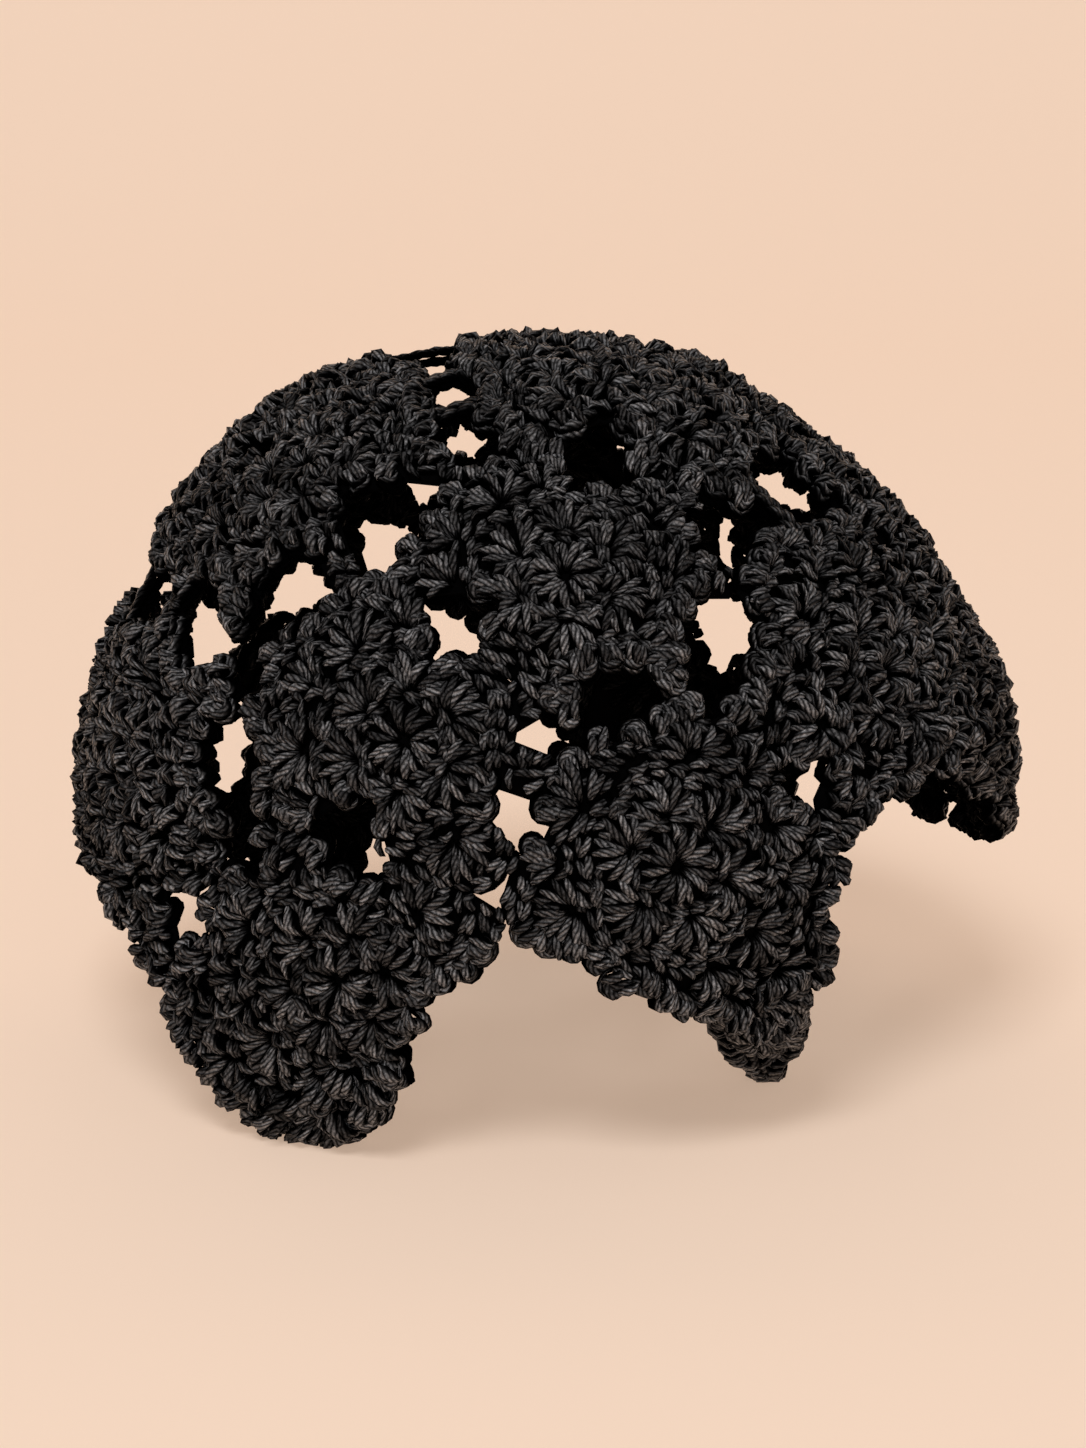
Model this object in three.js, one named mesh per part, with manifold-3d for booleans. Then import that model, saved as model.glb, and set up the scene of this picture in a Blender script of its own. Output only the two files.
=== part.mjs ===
// Crochet lace beret: a dome of round crochet flower motifs that are joined at the tips of
// their lobes, standing by itself on its leg motifs.
// Millimetres, +Z up. Seen from the front, +X is to the right and +Y is to the back. The
// origin is on the surface that the hat stands on, below the middle of its box.
import * as THREE from "three";
import Module from "manifold-3d";
import { mergeVertices } from "three/addons/utils/BufferGeometryUtils.js";

// The dome. Its radius is to the middle of the crocheted wall.
const DOME_RADIUS = 119.5;
const DOME_CENTRE = new THREE.Vector3(-0.2, 0.8, 63.5);
const WALL_MIDDLE = 6.5; // thickness at a motif's star
const WALL_EDGE = 4.6; // thickness at a motif's edge
const MOTIF_CROWN = 3; // how far a motif's star stands proud of its edge

// The motifs' edges.
const JOIN_GAP = 0.3; // between two motifs that meet
const SEAT_CLEARANCE = 0.35; // between a motif and what is joined to it
const LOBES = 12; // lobes round one motif
const LOBE_DEPTH = 3; // from the tip of a lobe to the dip beside it
const SEAM_LIMIT = 54; // degrees between two stars beyond which motifs are no neighbours
const SPIKE = 2; // the most that one point of an edge reaches past both of its neighbours

// The mesh of one motif.
const SIDES = 60;
const RING_SHARE = 0.52; // where the middle ring lies, as a share of the way to the edge

// The eyelets that are worked out by rule, in the middle of the seams behind.
const SEAM_EYELET = { along: 8, across: 4.2 };

// The chains that bridge the wide gaps.
const CHAIN_RADIUS = 1.9;
const CHAIN_SIDES = 8;
const CHAIN_STEPS = 6;

// Each motif: the direction of its star from the dome's centre (azimuth in degrees from the
// front towards the right, latitude in degrees up), the reach of its lobes in millimetres and
// whether its seams are drawn by the eyelet table (shown) or by the rule (not shown).
const MOTIFS = [
  // name, azimuth, latitude, reach, shown
  ["crown_front", 23, 72, 50, true],
  ["crown_back", 184, 66, 48, false],
  ["upper_front", 3, 41, 50, true],
  ["upper_left", -53, 53, 52, true],
  ["upper_right", 93, 43, 48, true],
  ["middle_front", -17, 21, 48, true],
  ["middle_right", 49, 25, 49, true],
  ["side_left", -62, 10, 50, true],
  ["flap_right", 90, 12, 46, true],
  ["leg_front_left", -24, -7, 50, true],
  ["leg_front_right", 15, 7, 50, true],
  ["leg_back_right", 158, -6, 50, false],
  ["leg_back_left", 210, -5, 52, false],
  ["back_left", 255, 6, 52, false],
  ["back_right", 127, 18, 49, false],
  ["back_middle", 178, 27, 50, false],
  ["back_upper_left", 222, 38, 50, false],
  ["left_upper_back", 262, 48, 48, false],
  ["right_upper_back", 142, 55, 49, false],
].map(([name, azimuth, latitude, reach, shown]) => ({
  name,
  reach,
  shown,
  ...frameAt(azimuth, latitude),
}));

// The eyelets and wider gaps of the lace: direction, half lengths along and across, and the
// turn of the long one from the level in degrees.
const GAPS = [
  // azimuth, latitude, along, across, turn
  [-36.3, 70.8, 15, 6.5, -55], // the front of the long gap that the top chains bridge
  [-124.6, 73.1, 36, 6.5, 35.8], // its stretch behind
  [-20, 61.8, 9, 7.5, -25],
  [-27.5, 53, 4, 3, 0],
  [-32.5, 48.3, 9, 7.5, -50],
  [-40.3, 37.3, 10.8, 9.5, -22],
  [-55.5, 30.3, 14.5, 8.5, -42],
  [-91, 31, 46, 7.5, 0],
  [-41, 16, 12, 9, -64],
  [-38, 7, 7, 5.5, 15],
  [-46.2, -2.9, 6, 5, 32],
  [-22.8, 8.9, 9.5, 7, -60],
  [-4.9, 13.8, 6, 3.6, -62],
  [0.2, 21.9, 3.8, 3.6, 0],
  [9.5, 26.5, 10.5, 7.5, 0],
  [-12.2, 35, 8, 6.2, -80],
  [24.5, 33, 11.5, 9.5, 50],
  [21.5, 26.5, 7.5, 3.5, 0],
  [32, 46, 11.5, 8, 53],
  [12, 59, 12, 9, 34],
  [50.5, 50.5, 14.5, 10, 45],
  [32.6, 14.6, 7, 3.4, -7],
  [195, 43, 9, 7, 60],
  [201.5, 35.5, 5.5, 4.5, 0],
  [201.5, 57, 10, 6.5, 0],
  [205.5, 25, 7.5, 7, 60],
  [219, 18.7, 9, 8, 0],
  [237, 14.3, 10.5, 11, 0],
  [251, 23, 12, 9.5, 0],
  [227.8, -3, 13, 8, 90],
  [191.8, 8.3, 8, 5, 0],
  [153.8, 10, 9, 8.5, 0],
  [151.3, 25.4, 5, 4, 90],
  [136, 36, 11, 10, 0],
  [182, -6, 8, 8, 0],
].map(([azimuth, latitude, along, across, turn]) => ({
  along,
  across,
  turn: THREE.MathUtils.degToRad(turn),
  ...frameAt(azimuth, latitude),
}));

// The free edges of the rim motifs: how far the lobes reach in a direction from the star (in
// degrees, 0 to the right seen from outside, 90 up). Between two rows the reach runs evenly.
const RIM = [
  // motif, direction, reach
  ["leg_front_left", -190, 60],
  ["leg_front_left", -165, 61.5],
  ["leg_front_left", -148, 55.5],
  ["leg_front_left", -126, 58],
  ["leg_front_left", -103, 55.5],
  ["leg_front_left", -90, 45],
  ["leg_front_left", -75, 36.5],
  ["leg_front_left", -55, 26.5],
  ["leg_front_left", -25, 23],
  ["leg_front_left", 0, 28],
  ["leg_front_left", 14, 42],
  ["leg_front_left", 22, 50],
  ["leg_front_right", -172, 50],
  ["leg_front_right", -160, 44.5],
  ["leg_front_right", -144, 36],
  ["leg_front_right", -127, 32.5],
  ["leg_front_right", -95, 37],
  ["leg_front_right", -80, 41],
  ["leg_front_right", -66, 53],
  ["leg_front_right", -56, 67],
  ["leg_front_right", -46, 62],
  ["leg_front_right", -30, 53],
  ["leg_front_right", -22, 45],
  ["leg_front_right", -14, 49],
  ["middle_right", -125, 46],
  ["middle_right", -112, 36],
  ["middle_right", -95, 29.5],
  ["middle_right", -65, 29.5],
  ["middle_right", -45, 34],
  ["middle_right", -30, 45],
  ["side_left", -175, 42],
  ["side_left", -150, 33],
  ["side_left", -136, 30],
  ["side_left", -109, 31],
  ["side_left", -93, 34],
  ["side_left", -84, 38],
  ["side_left", -73, 37],
  ["side_left", -67, 52],
  ["side_left", -52, 52],
  ["side_left", -46, 40],
  ["side_left", -35, 42],
  ["flap_right", -170, 44],
  ["flap_right", -150, 33],
  ["flap_right", -125, 31],
  ["flap_right", -100, 33],
  ["flap_right", -64, 44],
  ["flap_right", -50, 53],
  ["flap_right", -36, 51],
  ["flap_right", -20, 44],
  ["back_right", -135, 70],
  ["back_right", -122, 66],
  ["back_right", -105, 57.5],
  ["back_right", -95, 53],
  ["back_right", -85, 47],
  ["back_middle", 150, 50],
  ["back_middle", 160, 56],
  ["back_middle", 200, 56],
  ["back_middle", 212, 50],
  ["leg_back_right", -195, 38],
  ["leg_back_right", -172, 34],
  ["leg_back_right", -140, 36],
  ["leg_back_right", -110, 52],
  ["leg_back_right", -90, 60],
  ["leg_back_right", -70, 54],
  ["leg_back_right", -45, 44],
  ["leg_back_left", -180, 46],
  ["leg_back_left", -140, 36],
  ["leg_back_left", -98, 32],
  ["leg_back_left", -86, 57],
  ["leg_back_left", -70, 66],
  ["leg_back_left", -52, 59],
  ["leg_back_left", -35, 42],
  ["back_left", -140, 44],
  ["back_left", -90, 36],
  ["back_left", -60, 32],
  ["back_left", -35, 40],
];

// Swells and dents of the dome: direction, spread in degrees and height in millimetres.
const SWELLS = [
  // azimuth, latitude, spread, height
  [-52, -24, 20, 8],
  [-108, 60, 20, 4.5],
  [-150, 80, 20, -2],
  [100, 47, 16, -4.5],
  [93, 12, 12, 0.8],
  [-88, 15, 16, 0.8],
  [135, 68, 16, 2],
].map(([azimuth, latitude, spread, height]) => ({
  spread: THREE.MathUtils.degToRad(spread),
  height,
  ...frameAt(azimuth, latitude),
}));

// Stretches of a motif's edge that curl away from the dome: direction from the star, half
// the width in degrees and how far the edge lifts (inwards when it is less than nothing).
const CURLS = [
  // motif, direction, width, lift
  ["middle_right", -48, 42, 9],
  ["flap_right", -150, 60, -10],
  ["leg_front_right", -60, 40, -4],
];

// The chains: where each starts and ends, as directions inside the two motifs it joins.
const CHAINS = [
  // name, first motif, azimuth, latitude, second motif, azimuth, latitude
  ["chain_top_back", "left_upper_back", -109, 66, "crown_back", -148, 79],
  ["chain_top_middle", "upper_left", -57, 69, "crown_front", -38, 82],
  ["chain_top_front", "upper_left", -36.5, 64, "crown_front", -15, 71.5],
  ["chain_left_back", "left_upper_back", -82, 42, "side_left", -78, 18],
  ["chain_left_front", "upper_left", -62, 38, "side_left", -67, 24],
  ["chain_right", "crown_front", 38, 59, "middle_right", 47, 42],
];

const CHARCOAL = new THREE.MeshStandardMaterial({
  color: 0x1c1b1d,
  roughness: 0.92,
  metalness: 0,
});

// The direction of an azimuth and latitude, with the level and the upward direction there.
function frameAt(azimuth, latitude) {
  const a = THREE.MathUtils.degToRad(azimuth);
  const l = THREE.MathUtils.degToRad(latitude);
  const out = new THREE.Vector3(
    Math.cos(l) * Math.sin(a),
    -Math.cos(l) * Math.cos(a),
    Math.sin(l),
  );
  const level = new THREE.Vector3(Math.cos(a), Math.sin(a), 0);
  const rise = new THREE.Vector3().crossVectors(out, level).normalize();
  return { out, level, rise };
}

// The direction that is reached from a frame by going a distance along the dome.
function directionFrom(frame, distance, theta) {
  const arc = distance / DOME_RADIUS;
  const along = frame.level
    .clone()
    .multiplyScalar(Math.cos(theta))
    .addScaledVector(frame.rise, Math.sin(theta));
  return frame.out
    .clone()
    .multiplyScalar(Math.cos(arc))
    .addScaledVector(along, Math.sin(arc));
}

// A direction in a frame's own polar terms.
function polarIn(frame, direction) {
  const distance = Math.acos(THREE.MathUtils.clamp(frame.out.dot(direction), -1, 1));
  const theta = Math.atan2(frame.rise.dot(direction), frame.level.dot(direction));
  return { distance: distance * DOME_RADIUS, theta };
}

// 1 in the middle of a stretch, falling smoothly to 0 at its two ends.
function hump(theta, middle, width) {
  const away = Math.abs(Math.atan2(Math.sin(theta - middle), Math.cos(theta - middle)));
  return away >= width ? 0 : 0.5 + 0.5 * Math.cos((Math.PI * away) / width);
}

function insideGap(gap, direction) {
  if (gap.out.dot(direction) < 0.9) return false;
  const x = gap.level.dot(direction) * DOME_RADIUS;
  const y = gap.rise.dot(direction) * DOME_RADIUS;
  const along = x * Math.cos(gap.turn) + y * Math.sin(gap.turn);
  const across = y * Math.cos(gap.turn) - x * Math.sin(gap.turn);
  return (along / gap.along) ** 2 + (across / gap.across) ** 2 < 1;
}

// The eyelets in the middle of the seams that the table leaves to the rule.
function seamEyelets() {
  const made = [];
  MOTIFS.forEach((a, i) => {
    for (const b of MOTIFS.slice(i + 1)) {
      const middle = a.out.clone().add(b.out).normalize();
      const apart = middle.angleTo(a.out);
      const nearest = Math.min(...MOTIFS.map((m) => m.out.angleTo(middle)));
      const wide = 2 * apart > THREE.MathUtils.degToRad(SEAM_LIMIT);
      if ((a.shown && b.shown) || wide || nearest < apart - 1e-6) continue;
      const level = b.out.clone().sub(a.out).normalize();
      const rise = new THREE.Vector3().crossVectors(middle, level);
      const { along, across } = SEAM_EYELET;
      made.push({ out: middle, level, rise, along, across, turn: Math.PI / 2 });
    }
  });
  return made;
}

const ALL_GAPS = [...GAPS, ...seamEyelets()];

// How far a motif's lobes reach in a direction where nothing stops them.
function freeReach(motif, theta) {
  const rows = RIM.filter(([name]) => name === motif.name);
  const dip = LOBE_DEPTH * (0.5 - 0.5 * Math.cos(LOBES * theta));
  if (!rows.length) return motif.reach - dip;
  const first = rows[0][1];
  const direction = first + modulo(THREE.MathUtils.radToDeg(theta) - first, 360);
  const next = rows.findIndex((row) => row[1] > direction);
  if (next < 1) return motif.reach - dip;
  const [, d0, r0] = rows[next - 1];
  const [, d1, r1] = rows[next];
  return r0 + ((r1 - r0) * (direction - d0)) / (d1 - d0) - dip;
}

function modulo(value, period) {
  return ((value % period) + period) % period;
}

// How far it is to the seams with the neighbours, whose middle two motifs share.
function seamReach(motif, theta) {
  let reach = Infinity;
  for (const other of MOTIFS) {
    if (other === motif) continue;
    const apart = motif.out.angleTo(other.out);
    if (apart > THREE.MathUtils.degToRad(SEAM_LIMIT + 20)) continue;
    const facing = Math.cos(theta - polarIn(motif, other.out).theta);
    if (facing < 0.05) continue;
    reach = Math.min(reach, DOME_RADIUS * Math.atan(Math.tan(apart / 2) / facing));
  }
  return reach;
}

// How far a motif reaches in a direction: to its lobes, its seams or the first gap.
function edgeReach(motif, theta) {
  const reach = Math.min(freeReach(motif, theta), seamReach(motif, theta) - JOIN_GAP / 2);
  const step = 0.5;
  for (let distance = 12; distance < reach; distance += step) {
    const direction = directionFrom(motif, distance, theta);
    if (ALL_GAPS.some((gap) => insideGap(gap, direction))) return distance;
  }
  return reach;
}

function swellAt(direction) {
  let height = 0;
  for (const swell of SWELLS) {
    const away = swell.out.angleTo(direction) / swell.spread;
    height += swell.height * Math.exp(-away * away);
  }
  return height;
}

function curlAt(motif, theta, share) {
  let lift = 0;
  for (const [name, direction, width, height] of CURLS) {
    if (name !== motif.name) continue;
    const middle = THREE.MathUtils.degToRad(direction);
    const part = hump(theta, middle, THREE.MathUtils.degToRad(width));
    lift += height * part * Math.min(share, 1.2) ** 2;
  }
  return lift;
}

// A point of a motif's wall: its distance and direction from the star, and how far it lies
// outside the middle of the wall.
function wallPoint(motif, distance, theta, offset) {
  const direction = directionFrom(motif, distance, theta);
  const share = distance / Math.min(seamReach(motif, theta), motif.reach);
  const crown = MOTIF_CROWN * (1 - Math.min(share, 1) ** 2);
  const radius =
    DOME_RADIUS + crown + swellAt(direction) + curlAt(motif, theta, share) + offset;
  return DOME_CENTRE.clone().addScaledVector(direction, radius);
}

// A closed mesh from rings of points with a middle point on each face: outer face, edge and
// inner face.
function wallGeometry(outerMiddle, outerRings, innerRings, innerMiddle) {
  const count = outerRings[0].length;
  const rings = [...outerRings, ...innerRings];
  const points = [outerMiddle, ...rings.flat(), innerMiddle];
  const last = points.length - 1;
  const index = [];
  const at = (ring, i) => 1 + ring * count + (i % count);
  for (let i = 0; i < count; i++) {
    index.push(0, at(0, i), at(0, i + 1));
    for (let ring = 0; ring < rings.length - 1; ring++) {
      index.push(at(ring, i), at(ring + 1, i), at(ring + 1, i + 1));
      index.push(at(ring, i), at(ring + 1, i + 1), at(ring, i + 1));
    }
    index.push(last, at(rings.length - 1, i + 1), at(rings.length - 1, i));
  }
  return geometryOf(points.flatMap((p) => [p.x, p.y, p.z]), index);
}

function geometryOf(positions, index) {
  const geometry = new THREE.BufferGeometry();
  geometry.setAttribute("position", new THREE.Float32BufferAttribute(positions, 3));
  geometry.setIndex(index);
  geometry.computeVertexNormals();
  return geometry;
}

const solids = await Module();
solids.setup();

function solidOf(geometry) {
  const bare = geometry.clone();
  bare.deleteAttribute("normal");
  bare.deleteAttribute("uv");
  const merged = mergeVertices(bare, 1e-4);
  return new solids.Manifold(
    new solids.Mesh({
      numProp: 3,
      vertProperties: new Float32Array(merged.attributes.position.array),
      triVerts: new Uint32Array(merged.index.array),
    }),
  );
}

function geometryFrom(solid) {
  const mesh = solid.getMesh();
  return geometryOf(Array.from(mesh.vertProperties), Array.from(mesh.triVerts));
}

// What reaches below the surface that the hat stands on is cut off flat.
function flattenedFoot(geometry) {
  const depth = 60;
  const below = new THREE.BoxGeometry(600, 600, depth).translate(0, 0, -depth / 2);
  return geometryFrom(solidOf(geometry).subtract(solidOf(below)));
}

// One motif as a wall, made larger all round by a clearance where one is given.
function motifGeometry(motif, clearance = 0) {
  const turns = Array.from({ length: SIDES }, (_, i) => (2 * Math.PI * i) / SIDES);
  const reaches = turns.map((theta) => edgeReach(motif, theta));
  const edge = reaches.map((reach, i) => {
    const beside = Math.max(reaches.at(i - 1), reaches[(i + 1) % SIDES]);
    return Math.min(reach, beside + SPIKE) + clearance;
  });
  const ring = (share, offset) =>
    turns.map((theta, i) => wallPoint(motif, edge[i] * share, theta, offset));
  const half = WALL_MIDDLE / 2 + clearance;
  const thin = WALL_EDGE / 2 + clearance;
  const geometry = wallGeometry(
    wallPoint(motif, 0, 0, half),
    [ring(RING_SHARE, half), ring(1, thin)],
    [ring(1, -thin), ring(RING_SHARE, -half)],
    wallPoint(motif, 0, 0, -half),
  );
  geometry.computeBoundingBox();
  return geometry.boundingBox.min.z < 0 ? flattenedFoot(geometry) : geometry;
}

// The rim motif at the front right is folded in under its neighbour: a pointed tongue whose
// long edges roll upwards. It runs down and back from its upper end to its foot.
const TONGUE = {
  neighbour: "leg_front_right",
  top: new THREE.Vector3(50, -97, 42),
  foot: new THREE.Vector3(57.5, -35, -1.5),
  halfWidth: 16,
  tipHalfWidth: 3,
  roll: 16, // radius that its long edges roll to
  thickness: 5.5,
  steps: 8,
  across: 6,
};

// Half the tongue's width at a share of the way from its upper end to its foot.
function tongueHalfWidth(share) {
  const upper = 0.55 + 0.45 * Math.sin(Math.PI * Math.min(share / 0.7, 1) * 0.5);
  const point = 1 - share ** 2;
  const lobe = 1 + 0.07 * Math.cos(2 * Math.PI * 4 * share);
  return Math.max(TONGUE.tipHalfWidth, TONGUE.halfWidth * upper * point * lobe);
}

function tonguePoint(share, side, offset) {
  const run = TONGUE.foot.clone().sub(TONGUE.top);
  const along = run.clone().normalize();
  const level = new THREE.Vector3(1, 0, 0);
  const under = new THREE.Vector3().crossVectors(along, level).normalize();
  const bend = (side * tongueHalfWidth(share)) / TONGUE.roll;
  const radius = TONGUE.roll + offset;
  return TONGUE.top
    .clone()
    .addScaledVector(run, share)
    .addScaledVector(under, -TONGUE.roll + radius * Math.cos(bend))
    .addScaledVector(level, radius * Math.sin(bend));
}

// The tongue is a grid of points on both faces, closed round its edge.
function tongueGeometry() {
  const { steps, across, thickness } = TONGUE;
  const points = [];
  for (const offset of [thickness / 2, -thickness / 2])
    for (let i = 0; i <= steps; i++)
      for (let j = 0; j <= across; j++)
        points.push(tonguePoint(i / steps, (2 * j) / across - 1, offset));
  const face = (steps + 1) * (across + 1);
  const at = (side, i, j) => side * face + i * (across + 1) + j;
  const index = [];
  const quad = (a, b, c, d) => index.push(a, b, c, a, c, d);
  for (let i = 0; i < steps; i++)
    for (let j = 0; j < across; j++) {
      quad(at(0, i, j), at(0, i + 1, j), at(0, i + 1, j + 1), at(0, i, j + 1));
      quad(at(1, i, j), at(1, i, j + 1), at(1, i + 1, j + 1), at(1, i + 1, j));
    }
  for (let i = 0; i < steps; i++) {
    quad(at(1, i, 0), at(1, i + 1, 0), at(0, i + 1, 0), at(0, i, 0));
    quad(at(0, i, across), at(0, i + 1, across), at(1, i + 1, across), at(1, i, across));
  }
  for (let j = 0; j < across; j++) {
    quad(at(0, 0, j), at(0, 0, j + 1), at(1, 0, j + 1), at(1, 0, j));
    quad(at(1, steps, j), at(1, steps, j + 1), at(0, steps, j + 1), at(0, steps, j));
  }
  const whole = geometryOf(points.flatMap((p) => [p.x, p.y, p.z]), index);
  const neighbour = MOTIFS.find((motif) => motif.name === TONGUE.neighbour);
  return largestBody(solidOf(flattenedFoot(whole)), [neighbour]);
}

// What is left of a solid clear of some motifs: its largest body.
function largestBody(solid, motifs) {
  let left = solid;
  for (const motif of motifs)
    left = left.subtract(solidOf(motifGeometry(motif, SEAT_CLEARANCE)));
  const bodies = left.decompose().sort((a, b) => b.volume() - a.volume());
  return geometryFrom(bodies[0]);
}

// A chain is a tube from one motif to another, cut off just short of both.
function chainGeometry(first, from, second, to) {
  const start = frameAt(...from).out;
  const end = frameAt(...to).out;
  const points = Array.from({ length: CHAIN_STEPS + 1 }, (_, i) => {
    const share = i / CHAIN_STEPS;
    const direction = start.clone().lerp(end, share).normalize();
    const radius = DOME_RADIUS + swellAt(direction);
    return DOME_CENTRE.clone().addScaledVector(direction, radius);
  });
  const section = new THREE.Shape();
  for (let i = 0; i < CHAIN_SIDES; i++) {
    const turn = (2 * Math.PI * i) / CHAIN_SIDES;
    const x = CHAIN_RADIUS * Math.cos(turn);
    const y = CHAIN_RADIUS * Math.sin(turn);
    if (i === 0) section.moveTo(x, y);
    else section.lineTo(x, y);
  }
  const tube = new THREE.ExtrudeGeometry(section, {
    steps: CHAIN_STEPS,
    extrudePath: new THREE.CatmullRomCurve3(points),
  });
  return largestBody(solidOf(tube), [first, second]);
}

const beret = new THREE.Group();

function addPiece(name, geometry) {
  const piece = new THREE.Mesh(geometry, CHARCOAL.clone());
  piece.name = name;
  beret.add(piece);
}

for (const motif of MOTIFS) addPiece(motif.name, motifGeometry(motif));
addPiece("leg_front_folded", tongueGeometry());
for (const [name, firstName, a0, l0, secondName, a1, l1] of CHAINS) {
  const first = MOTIFS.find((motif) => motif.name === firstName);
  const second = MOTIFS.find((motif) => motif.name === secondName);
  addPiece(name, chainGeometry(first, [a0, l0], second, [a1, l1]));
}

export default beret;
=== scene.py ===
"""Crochet lace beret: each motif is worked in tapered strands in the place of its solid.

Metres, +Z up. Seen from the front, +X is to the right and +Y is to the back.
"""

import math

import bpy
import numpy as np
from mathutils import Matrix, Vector


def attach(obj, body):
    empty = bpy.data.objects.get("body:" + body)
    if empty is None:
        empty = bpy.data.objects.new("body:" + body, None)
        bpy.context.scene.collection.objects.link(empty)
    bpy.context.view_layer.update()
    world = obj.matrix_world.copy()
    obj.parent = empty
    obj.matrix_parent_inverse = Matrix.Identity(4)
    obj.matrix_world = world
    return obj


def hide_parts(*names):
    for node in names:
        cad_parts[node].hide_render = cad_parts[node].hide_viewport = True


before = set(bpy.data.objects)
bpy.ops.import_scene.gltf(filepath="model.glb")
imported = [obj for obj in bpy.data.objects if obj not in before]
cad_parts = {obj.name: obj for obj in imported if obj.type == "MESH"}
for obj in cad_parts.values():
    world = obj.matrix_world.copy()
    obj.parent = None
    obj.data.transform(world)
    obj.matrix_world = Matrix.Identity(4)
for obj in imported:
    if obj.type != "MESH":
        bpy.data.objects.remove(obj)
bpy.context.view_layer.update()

MM = 0.001
FAR = 10.0  # metres, further than anything here reaches

# The dome and its motifs, as in the solids. The radius is to the middle of the wall.
DOME_RADIUS = 119.5 * MM
DOME_CENTRE = np.array([-0.2, 0.8, 63.5]) * MM
MOTIF_CROWN = 3 * MM  # how far a motif's star stands proud of its edge
JOIN_GAP = 0.3 * MM
LOBES = 12
LOBE_DEPTH = 3 * MM
SEAM_LIMIT = 54  # degrees between two stars beyond which motifs are no neighbours
SEAM_SEARCH = 20  # degrees beyond that limit in which a seam may still cut a lobe
GRAZING = 0.05  # cosine to a seam below which a direction never meets it
SAME_SIDE = 0.9  # least cosine to a gap's middle of a point that may be in it
SPIKE_HALF = 3  # half the width in degrees of the widest spike that an edge loses
EDGE_START, EDGE_STEP = 12 * MM, 0.5 * MM  # from where and how finely an edge is looked for
PROBE = 2.5 * MM  # how far beyond its edge a motif looks for a neighbour
FREE_BLUR = 3  # degrees each way over which an edge changes from free to joined
CURL_REACH = 1.2  # share of a motif's reach at which its curl stops growing
EYELET_ALONG = 8 * MM
EYELET_ACROSS = 4.2 * MM

# name, azimuth, latitude, reach, shown, turn of the second round, turn of the third round
MOTIFS = [
    ("crown_front", 23, 72, 50, True, 20, 50),
    ("crown_back", 184, 66, 48, False, 10, 40),
    ("upper_front", 3, 41, 50, True, 30, 0),
    ("upper_left", -53, 53, 52, True, 15, 45),
    ("upper_right", 93, 43, 48, True, 0, 30),
    ("middle_front", -17, 21, 48, True, 29, 5),
    ("middle_right", 49, 25, 49, True, 50, 20),
    ("side_left", -62, 10, 50, True, 5, 35),
    ("flap_right", 90, 12, 46, True, 25, 55),
    ("leg_front_left", -24, -7, 50, True, 10, 40),
    ("leg_front_right", 15, 7, 50, True, 44, 17),
    ("leg_back_right", 158, -6, 50, False, 12, 42),
    ("leg_back_left", 210, -5, 52, False, 33, 3),
    ("back_left", 255, 6, 52, False, 20, 50),
    ("back_right", 127, 18, 49, False, 48, 18),
    ("back_middle", 178, 27, 50, False, 5, 35),
    ("back_upper_left", 222, 38, 50, False, 40, 10),
    ("left_upper_back", 262, 48, 48, False, 25, 55),
    ("right_upper_back", 142, 55, 49, False, 15, 45),
]

# azimuth, latitude, half lengths along and across in millimetres, turn
GAPS = [
    (-36.3, 70.8, 15, 6.5, -55), (-124.6, 73.1, 36, 6.5, 35.8), (-20, 61.8, 9, 7.5, -25),
    (-27.5, 53, 4, 3, 0), (-32.5, 48.3, 9, 7.5, -50), (-40.3, 37.3, 10.8, 9.5, -22),
    (-55.5, 30.3, 14.5, 8.5, -42), (-91, 31, 46, 7.5, 0), (-41, 16, 12, 9, -64),
    (-38, 7, 7, 5.5, 15), (-46.2, -2.9, 6, 5, 32), (-22.8, 8.9, 9.5, 7, -60),
    (-4.9, 13.8, 6, 3.6, -62), (0.2, 21.9, 3.8, 3.6, 0), (9.5, 26.5, 10.5, 7.5, 0),
    (-12.2, 35, 8, 6.2, -80), (24.5, 33, 11.5, 9.5, 50), (21.5, 26.5, 7.5, 3.5, 0),
    (32, 46, 11.5, 8, 53), (12, 59, 12, 9, 34), (50.5, 50.5, 14.5, 10, 45),
    (32.6, 14.6, 7, 3.4, -7), (195, 43, 9, 7, 60), (201.5, 35.5, 5.5, 4.5, 0),
    (201.5, 57, 10, 6.5, 0), (205.5, 25, 7.5, 7, 60), (219, 18.7, 9, 8, 0),
    (237, 14.3, 10.5, 11, 0), (251, 23, 12, 9.5, 0), (227.8, -3, 13, 8, 90),
    (191.8, 8.3, 8, 5, 0), (153.8, 10, 9, 8.5, 0), (151.3, 25.4, 5, 4, 90),
    (136, 36, 11, 10, 0), (182, -6, 8, 8, 0),
]

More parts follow.
